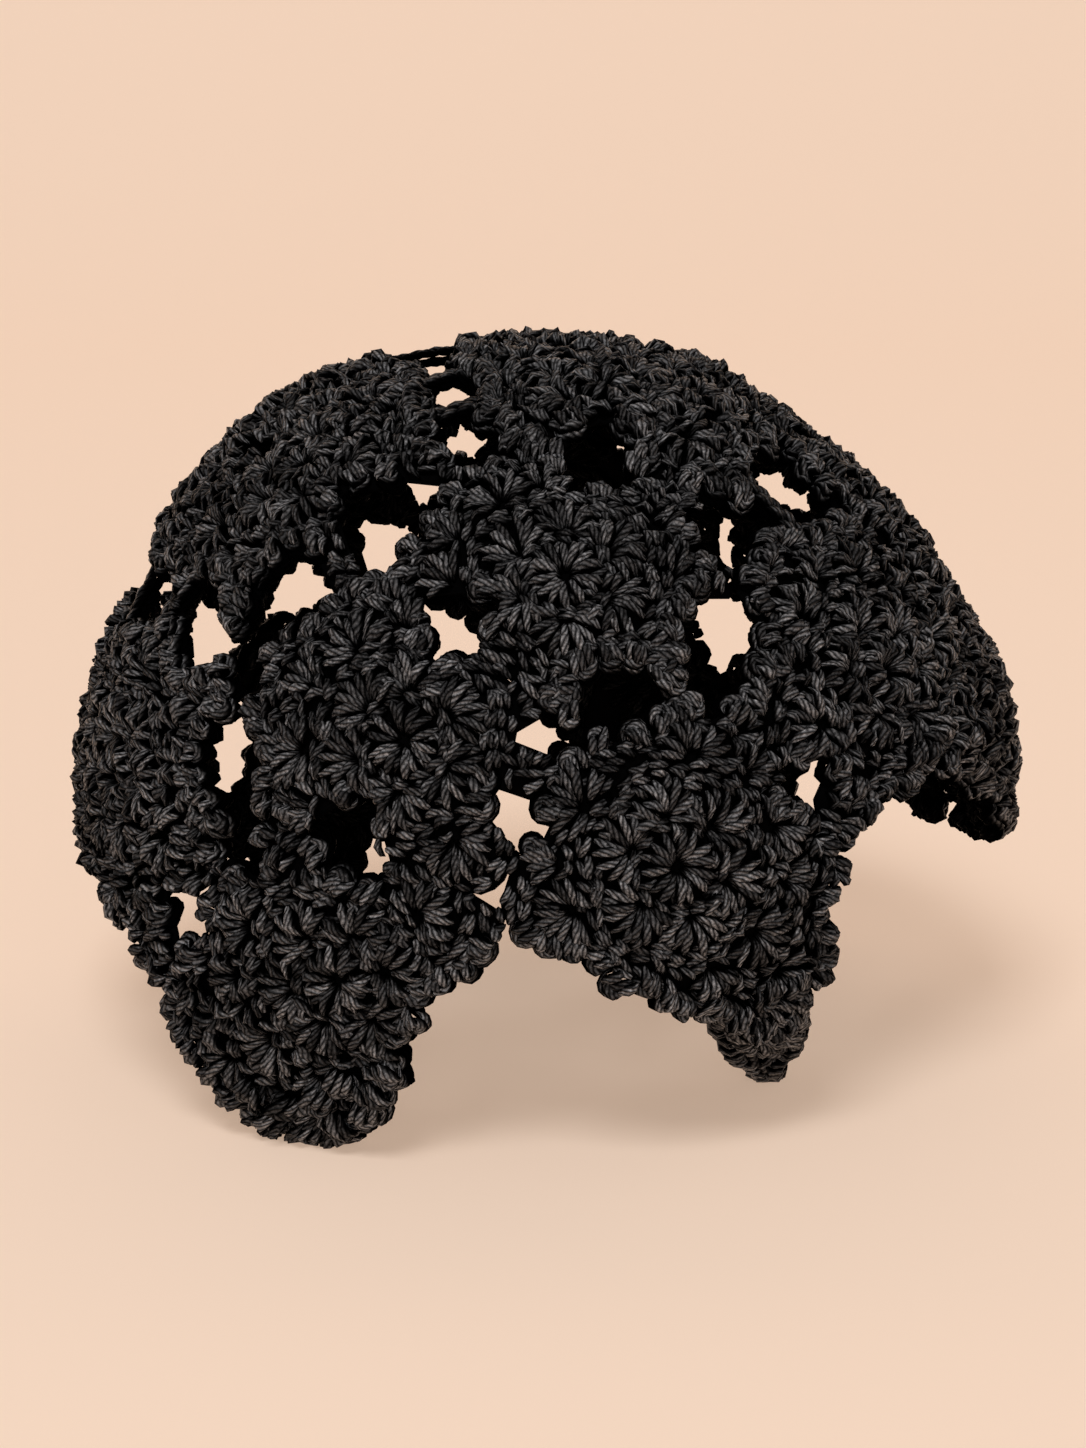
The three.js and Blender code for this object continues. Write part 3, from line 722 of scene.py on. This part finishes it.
def star(plate):
    turn = np.arange(STAR_LEAVES) * 360 / STAR_LEAVES + plate.random.uniform(0, 360)
    turn = turn + plate.random.normal(0, STAR_STRAY, STAR_LEAVES)
    leaves(
        plate, polar(STAR_START, turn), polar(STAR_END, turn), STAR_ARCH, STAR_HALF,
        LEAF_MESH, FAN_MARGIN, loose=CALM, lean=LEAF_LEAN,
    )


def fan(plate, origin, facing, count=FAN_LEAVES, spread=FAN_SPREAD, length=FAN_LENGTH):
    """Leaves that spread from an origin, where the plate has room for them."""
    room = plate.reach(math.atan2(origin[1], origin[0]), FAN_MARGIN) - np.hypot(*origin)
    if room < FAN_ROOM:
        return
    share = np.linspace(-0.5, 0.5, count)
    turn = facing + spread * share + plate.random.normal(0, FAN_STRAY, count)
    reach = length * (1 - FAN_DROOP * share ** 2) * plate.random.uniform(*FAN_LENGTHS, count)
    leaves(
        plate, origin + polar(FAN_START, turn), origin + polar(reach, turn), FAN_ARCH,
        LEAF_HALF, LEAF_MESH, FAN_MARGIN, lean=LEAF_LEAN,
    )


def braid(plate, path, height, half_width, margin, side=1, step=STITCH_STEP, half=STITCH_HALF):
    """A row of chain stitches along a path: pairs of short strands that lean together."""
    points = evenly(path, step)
    tangent = tangents(points)
    across = left_of(tangent)
    arch = [(height + h) * side for h in BRAID_ARCH]
    for lean in (1, -1):
        start = points + across * lean * half_width - tangent * step * BRAID_BACK
        end = points + across * lean * half_width * BRAID_CLOSE + tangent * step * BRAID_AHEAD
        leaves(plate, start, end, arch, half, STITCH_MESH, margin)


def arc_path(origin, radius, start, stop, count=24):
    turn = np.linspace(start, stop, count)
    return origin + polar(radius, turn)


def free_runs(plate, path):
    """The parts of a closed path along free edges, each a path of its own."""
    free = around(plate.free, np.arctan2(path[:, 1], path[:, 0])) > 0.5
    if free.all():
        return [np.vstack([path, path[:1]])]
    if not free.any():
        return []
    first = np.argmin(free)
    path, free = np.roll(path, -first, axis=0), np.roll(free, -first)
    changes = np.flatnonzero(np.diff(free.astype(int)))
    runs = [path[a + 1:b + 1] for a, b in zip(changes[::2], [*changes[1::2], len(path) - 1])]
    return [run for run in runs if len(run) > 3]


def lumps(plate, points, tangent, out, size, lift):
    """Rounded lumps: three arcs round each, and strands slanting over it."""
    random = plate.random
    count = len(points)
    loop_count, sides = LOOP_MESH
    turn = np.linspace(*LUMP_TURN, loop_count) * np.pi
    for height, radius in LUMP_ARCS:
        bulge = radius * size[:, None, None]
        loop = points[:, None] + tangent[:, None] * np.cos(turn)[:, None] * bulge * LUMP_LONG
        loop = loop + out[:, None] * np.sin(turn)[:, None] * bulge
        tilt = random.normal(0, LUMP_TILT, (count, 1)) * np.cos(turn)
        level = height + lift[:, None] + tilt
        loops = np.concatenate([loop, level[..., None]], axis=2)
        widths = STITCH_HALF * random.uniform(*LUMP_WIDTHS, count)
        plate.yarn.add(loops, widths, sides, random, flat=1.0, sunk=False)
    twist = random.choice([-1.0, 1.0], count)[:, None]
    grown = size[:, None] * MM
    for side, place in LUMP_STRANDS:
        start = points - out * LUMP_START * grown
        start = start + tangent * (LUMP_START_SPREAD * place - twist) * grown
        end = points + out * (LUMP_END - LUMP_END_ROUND * abs(place)) * grown
        end = end + tangent * (LUMP_END_SPREAD * place + twist) * grown
        rise = np.maximum(lift, 0) if side > 0 else np.minimum(lift, 0)
        arch = [h * side + rise for h in LUMP_ARCH]
        leaves(plate, start, end, arch, KNOB_HALF, KNOB_MESH, None, sunk=False)


def knobs(plate):
    """The lumps along free edges."""
    random = plate.random
    for run in free_runs(plate, plate.outline(KNOB_INSET)):
        points = evenly(run, KNOB_STEP)
        tangent = tangents(points)
        out = -left_of(tangent)
        count = len(points)
        for way, stray in zip((tangent, out), KNOB_STRAY):
            points = points + way * random.normal(0, stray, count)[:, None]
        size = random.uniform(*KNOB_SIZES, count)
        lift = random.normal(0, KNOB_STRAY_HEIGHT, count)
        lumps(plate, points, tangent, out, size, lift)


def bobbles(plate):
    """The larger lumps that cluster on some of the motifs' lobes."""
    if plate.name not in BOBBLES:
        return
    direction, distance, size, lift = np.array(BOBBLES[plate.name], float).T
    out = polar(1.0, direction)
    lumps(plate, out * distance[:, None] * MM, left_of(out), out, size, lift * MM)


def flower(plate):
    """The star, its rings and the rounds of fans on the outer side."""
    star(plate)
    braid(plate, arc_path(np.zeros(2), *STAR_RING), *STAR_BRAID, FAN_MARGIN)
    for (radius, stray, beyond, half_turn), turn in zip(ROUNDS, plate.turns):
        for i in range(FANS):
            facing = turn + 360 / FANS * i + plate.random.normal(0, stray)
            origin = polar(radius, facing)
            fan(plate, origin, facing)
            ring = arc_path(origin, FAN_LENGTH + beyond, facing - half_turn, facing + half_turn)
            braid(plate, ring, *RING_BRAID, FAN_MARGIN)
            if radius == ROUND_THREE:
                between = facing + 180 / FANS
                fan(plate, polar(SMALL_FAN_RADIUS, between), between, *SMALL_FAN)
    for i in range(ROUND_FOUR_FANS):
        facing = plate.turns[1] + ROUND_FOUR_TURN + 360 / ROUND_FOUR_FANS * i
        facing += plate.random.normal(0, ROUND_FOUR_STRAY)
        fan(plate, polar(ROUND_FOUR, facing), facing)


def fill(plate):
    """Short stitches over the ground that is still open, along its open stretches."""
    random = plate.random
    n = 2 * plate.half_cells
    x, y = np.meshgrid(*[(np.arange(n) - plate.half_cells + 0.5) * CELL] * 2)
    inside = np.hypot(x, y) < plate.reach(np.arctan2(y, x), FILL_MARGIN)
    headings = np.arange(FILL_WAYS) * np.pi / FILL_WAYS
    ways = np.stack([np.cos(headings), np.sin(headings)], axis=1)
    samples = np.arange(-FILL_SAMPLES, FILL_SAMPLES + 1)[:, None] * CELL * FILL_STEP
    starts, ends = [], []
    rows, columns = np.nonzero(inside & ~plate.covered)
    for k in random.permutation(len(rows)):
        i, j = rows[k], columns[k]
        near = plate.covered[i - 2:i + 3, j - 2:j + 3]
        if plate.covered[i, j] or near.sum() > FILL_CROWDED:
            continue
        centre = np.array([x[i, j], y[i, j]])
        at = plate.cells(centre + samples[None] * ways[:, None])
        score = (~plate.covered[at[..., 1], at[..., 0]]).sum(1)
        score = score + random.uniform(0, FILL_CHOICE, FILL_WAYS)
        way = ways[score.argmax()] * (random.uniform(*FILL_HALF_LENGTH) * MM)
        starts.append(centre - way)
        ends.append(centre + way)
        plate.cover(centre + samples * way / np.linalg.norm(way), FILL_COVER)
    if starts:
        leaves(
            plate, np.array(starts), np.array(ends), FILL_ARCH, STITCH_HALF, STITCH_MESH,
            FILL_MARGIN, bow=FILL_BOW,
        )


def edging(plate):
    """A row of stitches and the lumps along the free edges."""
    for run in free_runs(plate, plate.outline(ROW_INSET)):
        for height, side in ROW_HEIGHTS:
            braid(plate, run, height, ROW_HALF, None, side)
    knobs(plate)
    bobbles(plate)


BACKING_SIDES, BACKING_RINGS = 72, 8
BACKING_MARGIN = 3.4 * MM
BACKING_TOP, BACKING_UNDER = -0.2 * MM, -1.4 * MM


def backing(plate):
    """Painted shade between the strands: a thin closed near-black disc."""
    turn = np.linspace(0, 2 * np.pi, BACKING_SIDES, endpoint=False)
    edge = plate.reach(turn, BACKING_MARGIN) + SEAM_MARGIN
    rows = []
    for top in (True, False):
        shares = np.linspace(0, 1, BACKING_RINGS + 1)[1:]
        for share in shares if top else shares[::-1]:
            x, y = edge * share * np.cos(turn), edge * share * np.sin(turn)
            level = np.full(BACKING_SIDES, BACKING_TOP if top else BACKING_UNDER)
            rows.append(np.stack([x, y, level], axis=1))
    points = np.concatenate([[[0, 0, BACKING_TOP]], *rows, [[0, 0, BACKING_UNDER]]])
    triangles = spindle_triangles(2 * BACKING_RINGS, BACKING_SIDES)[:, ::-1]
    return points, triangles


def add_object(name, data):
    item = bpy.data.objects.new(name, data)
    bpy.context.scene.collection.objects.link(item)
    return item


def mesh_object(name, vertices, triangles, points, shade_sheet_from, materials):
    """A smooth mesh with the strands' own coordinates; the triangles after the strands' are the
    near-black sheet of painted shade.
    """
    mesh = bpy.data.meshes.new(name)
    mesh.vertices.add(len(vertices))
    mesh.vertices.foreach_set("co", vertices.astype(np.float32).ravel())
    mesh.loops.add(triangles.size)
    mesh.loops.foreach_set("vertex_index", triangles.astype(np.int32).ravel())
    mesh.polygons.add(len(triangles))
    mesh.polygons.foreach_set("loop_start", np.arange(0, triangles.size, 3, dtype=np.int32))
    for material in materials:
        mesh.materials.append(material)
    index = np.zeros(len(triangles), np.int32)
    index[shade_sheet_from:] = 1
    mesh.polygons.foreach_set("material_index", index)
    mesh.polygons.foreach_set("use_smooth", np.ones(len(triangles), bool))
    for label, values in points.items():
        kind, key = ("FLOAT_VECTOR", "vector") if values.ndim > 1 else ("FLOAT", "value")
        attribute = mesh.attributes.new(label, kind, "POINT")
        attribute.data.foreach_set(key, values.astype(np.float32).ravel())
    mesh.update()
    mesh.validate()
    return add_object(name, mesh)


def dress(plate, ground, materials):
    """Places a piece's strands and its near-black sheet of painted shade in space, and puts them
    where its solid is.
    """
    yarn = plate.yarn
    points, faces = ground if ground else (np.zeros((0, 3)), np.zeros((0, 3), int))
    vertices = plate.place(*np.concatenate([*yarn.vertices, points]).T)
    vertices[:, 2] = np.maximum(vertices[:, 2], 0)
    strands = np.concatenate(yarn.triangles)
    triangles = np.concatenate([strands, faces + yarn.count])
    blank = np.zeros(len(points))
    values = {
        "strand": np.concatenate([*yarn.round, np.zeros((len(points), 3))]),
        "tone": np.concatenate([*yarn.tone, blank]),
        "depth": np.concatenate([*yarn.depth, blank]),
    }
    name = plate.name
    piece = mesh_object(name + "_crochet", vertices, triangles, values, len(strands), materials)
    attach(piece, "root")
    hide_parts(name)


def inner_flower(plate):
    """The plainer inner side: the star and the fans in fewer and wider strands."""
    for (radius, count), turn in zip(INNER_ROUNDS, (0, *plate.turns)):
        for i in range(count):
            facing = turn + 360 / FANS * i
            turns = facing + (INNER_FAN if count > 1 else INNER_STAR)
            origin = polar(radius, facing)
            start, end = origin + polar(INNER_START, turns), origin + polar(FAN_LENGTH, turns)
            leaves(plate, start, end, *INNER_LEAF, lean=LEAF_LEAN)
        if count > 1:
            beyond, turned = INNER_RING
            ring = arc_path(np.zeros(2), radius + FAN_LENGTH + beyond, 0, turned)
            braid(plate, ring, *INNER_BRAID)


def crochet_plate(plate, materials):
    edging(plate)
    flower(plate)
    fill(plate)
    inner_flower(plate)
    dress(plate, backing(plate), materials)


def crochet_chain(name, from_end, to_end, seed, materials):
    """A chain bar along the dome from one motif to another."""
    a, b = frame_at(*from_end)[0], frame_at(*to_end)[0]
    length = DOME_RADIUS * angle_between(a, b)
    run = (b - a) / np.linalg.norm(b - a)

    def place(x, y, height):
        share = (x / length)[..., None]
        direction = a + (b - a) * share
        direction /= np.linalg.norm(direction, axis=-1)[..., None]
        across = np.cross(direction, run)
        radius = DOME_RADIUS + swell_at(direction) + height
        return DOME_CENTRE + direction * radius[..., None] + across * y[..., None]

    plate = Plate(name, np.full(360, CHAIN_ROOM), np.ones(360), place, (0, 0), seed)
    along = np.arange(-CHAIN_TUCK, length + CHAIN_TUCK, CHAIN_STEP)
    for row, (lean, side) in enumerate(CHAIN_ROWS):
        x = along + CHAIN_STEP * row / len(CHAIN_ROWS)
        wide, close = (np.full(len(x), y * lean) for y in (CHAIN_WIDE, CHAIN_CLOSE))
        leaves(
            plate, np.stack([x - CHAIN_BACK * CHAIN_STEP, wide], axis=1),
            np.stack([x + CHAIN_AHEAD * CHAIN_STEP, close], axis=1),
            [h * side for h in CHAIN_ARCH], CHAIN_HALF, LEAF_MESH, None, loose=CALM,
        )
    dress(plate, None, materials)


PLIES = 7  # threads seen round one strand
PLY_SLANT = 2.6  # turn of the threads in radians for each millimetre along a strand
PLY_DRIFT = 1.2  # radians by which the fibres bend the threads
FIBRE_SCALE, FIBRE_DETAIL = 1300, 3
THREAD_ROUND, FIBRE_RELIEF = 0.8, 0.4  # the threads' exponent, and the fibres' height
BUMP_DISTANCE = 0.4 * MM
TONE_RANGE, TONE_LEAST = 0.65, 0.35
# How much darker the grooves between the plies are: painted shade.
PLY_GROOVE_SHADE = 0.7
# How strongly the painted shade darkens the strands.
PAINTED_SHADING_CONTRAST = 2.6
SPECK_CONTRAST, SPECK_DARK = 1.2, -0.08
SHADE_CONTRAST = 1.8
SHINE, ROUGHNESS = 0.9, 0.38
MATT = 0.9
# The yarn's colour runs from near black in full painted shade to a bright painted highlight where
# no shade is painted.
YARN_PAINTED_HIGHLIGHT = (0.67, 0.66, 0.685)
YARN_PAINTED_SHADE = (0.0006, 0.0005, 0.0006)
# The near-black sheet under the strands: painted shade between them.
SHADE_SHEET_COLOUR = (0.0015, 0.0014, 0.0015)


def yarn_material(name):
    """Plied cotton: threads that wind along each strand, with fibres and tones of their own, and
    painted shade and highlight in its colour.
    """
    material = bpy.data.materials.new(name)
    material.use_nodes = True
    nodes, links = material.node_tree.nodes, material.node_tree.links
    shader = nodes["Principled BSDF"]

    def math_node(operation, *values):
        """A new node's output; values are numbers or other nodes' outputs."""
        node = nodes.new("ShaderNodeMath")
        node.operation = operation
        for socket, value in zip(node.inputs, values):
            if isinstance(value, bpy.types.NodeSocket):
                links.new(value, socket)
            else:
                socket.default_value = value
        return node.outputs[0]

    def product(*args):
        return math_node("MULTIPLY", *args)

    def total(*args):
        return math_node("ADD", *args)

    attributes = {}
    for label in ("strand", "tone", "depth"):
        attributes[label] = nodes.new("ShaderNodeAttribute")
        attributes[label].attribute_name = label
    tone, depth = attributes["tone"].outputs["Fac"], attributes["depth"].outputs["Fac"]
    split = nodes.new("ShaderNodeSeparateXYZ")
    links.new(attributes["strand"].outputs["Vector"], split.inputs[0])
    angle = math_node("ARCTAN2", split.outputs["Y"], split.outputs["X"])
    place = nodes.new("ShaderNodeTexCoord")
    fibre = nodes.new("ShaderNodeTexNoise")
    fibre.inputs["Scale"].default_value = FIBRE_SCALE
    fibre.inputs["Detail"].default_value = FIBRE_DETAIL
    links.new(place.outputs["Object"], fibre.inputs["Vector"])
    drift = product(fibre.outputs["Fac"], PLY_DRIFT)
    wind = product(split.outputs["Z"], PLY_SLANT)
    phase = total(total(product(angle, PLIES), wind), drift)
    wave = math_node("ABSOLUTE", math_node("SINE", product(phase, 0.5)))
    thread = math_node("POWER", wave, THREAD_ROUND)
    relief = total(thread, product(fibre.outputs["Fac"], FIBRE_RELIEF))
    bump = nodes.new("ShaderNodeBump")
    bump.inputs["Distance"].default_value = BUMP_DISTANCE
    bump.inputs["Strength"].default_value = 1.0
    links.new(relief, bump.inputs["Height"])
    links.new(bump.outputs["Normal"], shader.inputs["Normal"])
    own = total(product(tone, TONE_RANGE), TONE_LEAST)
    # Painted shade in the grooves between the plies; the same wave gives the real bump.
    threads = total(product(wave, PLY_GROOVE_SHADE), 1 - PLY_GROOVE_SHADE)
    shade = product(threads, own)
    # Painted shade: strands darker where they lie low, on the inner side and down their sides.
    shade = product(shade, math_node("POWER", depth, PAINTED_SHADING_CONTRAST))
    speck = total(product(fibre.outputs["Fac"], SPECK_CONTRAST), SPECK_DARK)
    shade = math_node("POWER", product(shade, speck), SHADE_CONTRAST)
    mix = nodes.new("ShaderNodeMix")
    mix.data_type = "RGBA"
    mix.inputs["A"].default_value = (*YARN_PAINTED_SHADE, 1)
    mix.inputs["B"].default_value = (*YARN_PAINTED_HIGHLIGHT, 1)
    links.new(shade, mix.inputs["Factor"])
    links.new(mix.outputs["Result"], shader.inputs["Base Color"])
    # The specular level follows the painted shade as well.
    links.new(product(shade, SHINE), shader.inputs["Specular IOR Level"])
    shader.inputs["Roughness"].default_value = ROUGHNESS
    return material


def flat_colour(name, colour, glow=(0, 0, 0)):
    """A matt material of one colour, with a glow of its own if one is given."""
    material = bpy.data.materials.new(name)
    material.use_nodes = True
    shader = material.node_tree.nodes["Principled BSDF"]
    shader.inputs["Base Color"].default_value = (*colour, 1)
    shader.inputs["Roughness"].default_value = MATT
    shader.inputs["Specular IOR Level"].default_value = 0.0
    shader.inputs["Emission Color"].default_value = (*glow, 1)
    shader.inputs["Emission Strength"].default_value = 1
    return material


# The camera: the photograph's height above the level and its distance and framing.
CAMERA_RISE = math.radians(15)
CAMERA_DISTANCE = 1.1
FRAME_HEIGHT_PX = 1448
FOCAL_PX = 4144
DOME_BELOW_MIDDLE_PX = 76
DOME_RIGHT_OF_MIDDLE_PX = 2
SENSOR = 36
CLIP_END = 20


def make_camera():
    data = bpy.data.cameras.new("camera")
    data.sensor_width = SENSOR
    data.lens = SENSOR * FOCAL_PX / FRAME_HEIGHT_PX
    data.clip_end = CLIP_END
    camera = add_object("camera", data)
    centre = Vector(DOME_CENTRE)
    up = Vector((0, math.sin(CAMERA_RISE), math.cos(CAMERA_RISE)))
    back = Vector((0, -math.cos(CAMERA_RISE), math.sin(CAMERA_RISE)))
    camera.location = centre + back * CAMERA_DISTANCE
    per_pixel = CAMERA_DISTANCE / FOCAL_PX
    aim = centre + up * DOME_BELOW_MIDDLE_PX * per_pixel
    aim -= Vector((1, 0, 0)) * DOME_RIGHT_OF_MIDDLE_PX * per_pixel
    camera.rotation_mode = "QUATERNION"
    camera.rotation_quaternion = (aim - camera.location).to_track_quat("-Z", "Y")
    bpy.context.scene.camera = camera


BACKDROP = (0.70, 0.585, 0.5)
BACKDROP_GLOW = (0.43, 0.308, 0.228)  # painted light: the sheet glows of its own, so its shadows stay light
# The sheet: half its width, its front edge, its wall and the wall's top, and the bend's radius.
SHEET_HALF, SHEET_FRONT, SHEET_WALL, SHEET_TOP = 4.0, -4.0, 2.2, 4.0
SHEET_BEND, SHEET_BEND_STEPS = 1.0, 12


def make_floor():
    """A seamless pale sheet: floor, round bend and wall in one."""
    bend_start = SHEET_WALL - SHEET_BEND
    profile = [(SHEET_FRONT, 0.0), (bend_start, 0.0)]
    for i in range(1, SHEET_BEND_STEPS + 1):
        turn = math.radians(90 * i / SHEET_BEND_STEPS)
        along, up = SHEET_BEND * math.sin(turn), SHEET_BEND - SHEET_BEND * math.cos(turn)
        profile.append((bend_start + along, up))
    profile.append((SHEET_WALL, SHEET_TOP))
    vertices = [(x, y, z) for y, z in profile for x in (-SHEET_HALF, SHEET_HALF)]
    faces = [(2 * i, 2 * i + 1, 2 * i + 3, 2 * i + 2) for i in range(len(profile) - 1)]
    mesh = bpy.data.meshes.new("floor")
    mesh.from_pydata(vertices, [], faces)
    mesh.materials.append(flat_colour("backdrop", BACKDROP, BACKDROP_GLOW))
    for polygon in mesh.polygons:
        polygon.use_smooth = True
    floor = add_object("floor", mesh)


WORLD_COLOUR, WORLD_STRENGTH = (1.0, 0.97, 0.94), 0.18
LIGHT_COLOUR = (1, 0.99, 0.98)
LIGHT_AIM = (0, 0, 0.08)
# name, place, size and power
LIGHTS = [
    ("key", (-0.5, -2.8, 3.7), 1.5, 87),
    ("fill", (0.5, -4.2, 1.2), 1.8, 30),
]


def area_light(name, location, size, power):
    data = bpy.data.lights.new(name, "AREA")
    data.size = size
    data.energy = power
    data.color = LIGHT_COLOUR
    light = add_object(name, data)
    light.location = location
    light.rotation_mode = "QUATERNION"
    towards = Vector(LIGHT_AIM) - Vector(location)
    light.rotation_quaternion = towards.to_track_quat("-Z", "Y")


def make_light():
    world = bpy.data.worlds.new("studio")
    world.use_nodes = True
    background = world.node_tree.nodes["Background"]
    background.inputs["Color"].default_value = (*WORLD_COLOUR, 1)
    background.inputs["Strength"].default_value = WORLD_STRENGTH
    bpy.context.scene.world = world
    for row in LIGHTS:
        area_light(*row)
    bpy.context.scene.view_settings.view_transform = "Standard"


make_camera()
make_floor()
make_light()
# The second material is the near-black sheet of painted shade under the strands.
materials = [yarn_material("charcoal_yarn"), flat_colour("charcoal_shade_sheet", SHADE_SHEET_COLOUR)]
for plate in [*motif_plates(), tongue_plate()]:
    crochet_plate(plate, materials)
for seed, (name, from_end, to_end) in enumerate(CHAINS, start=CHAIN_SEED):
    crochet_chain(name, from_end, to_end, seed, materials)
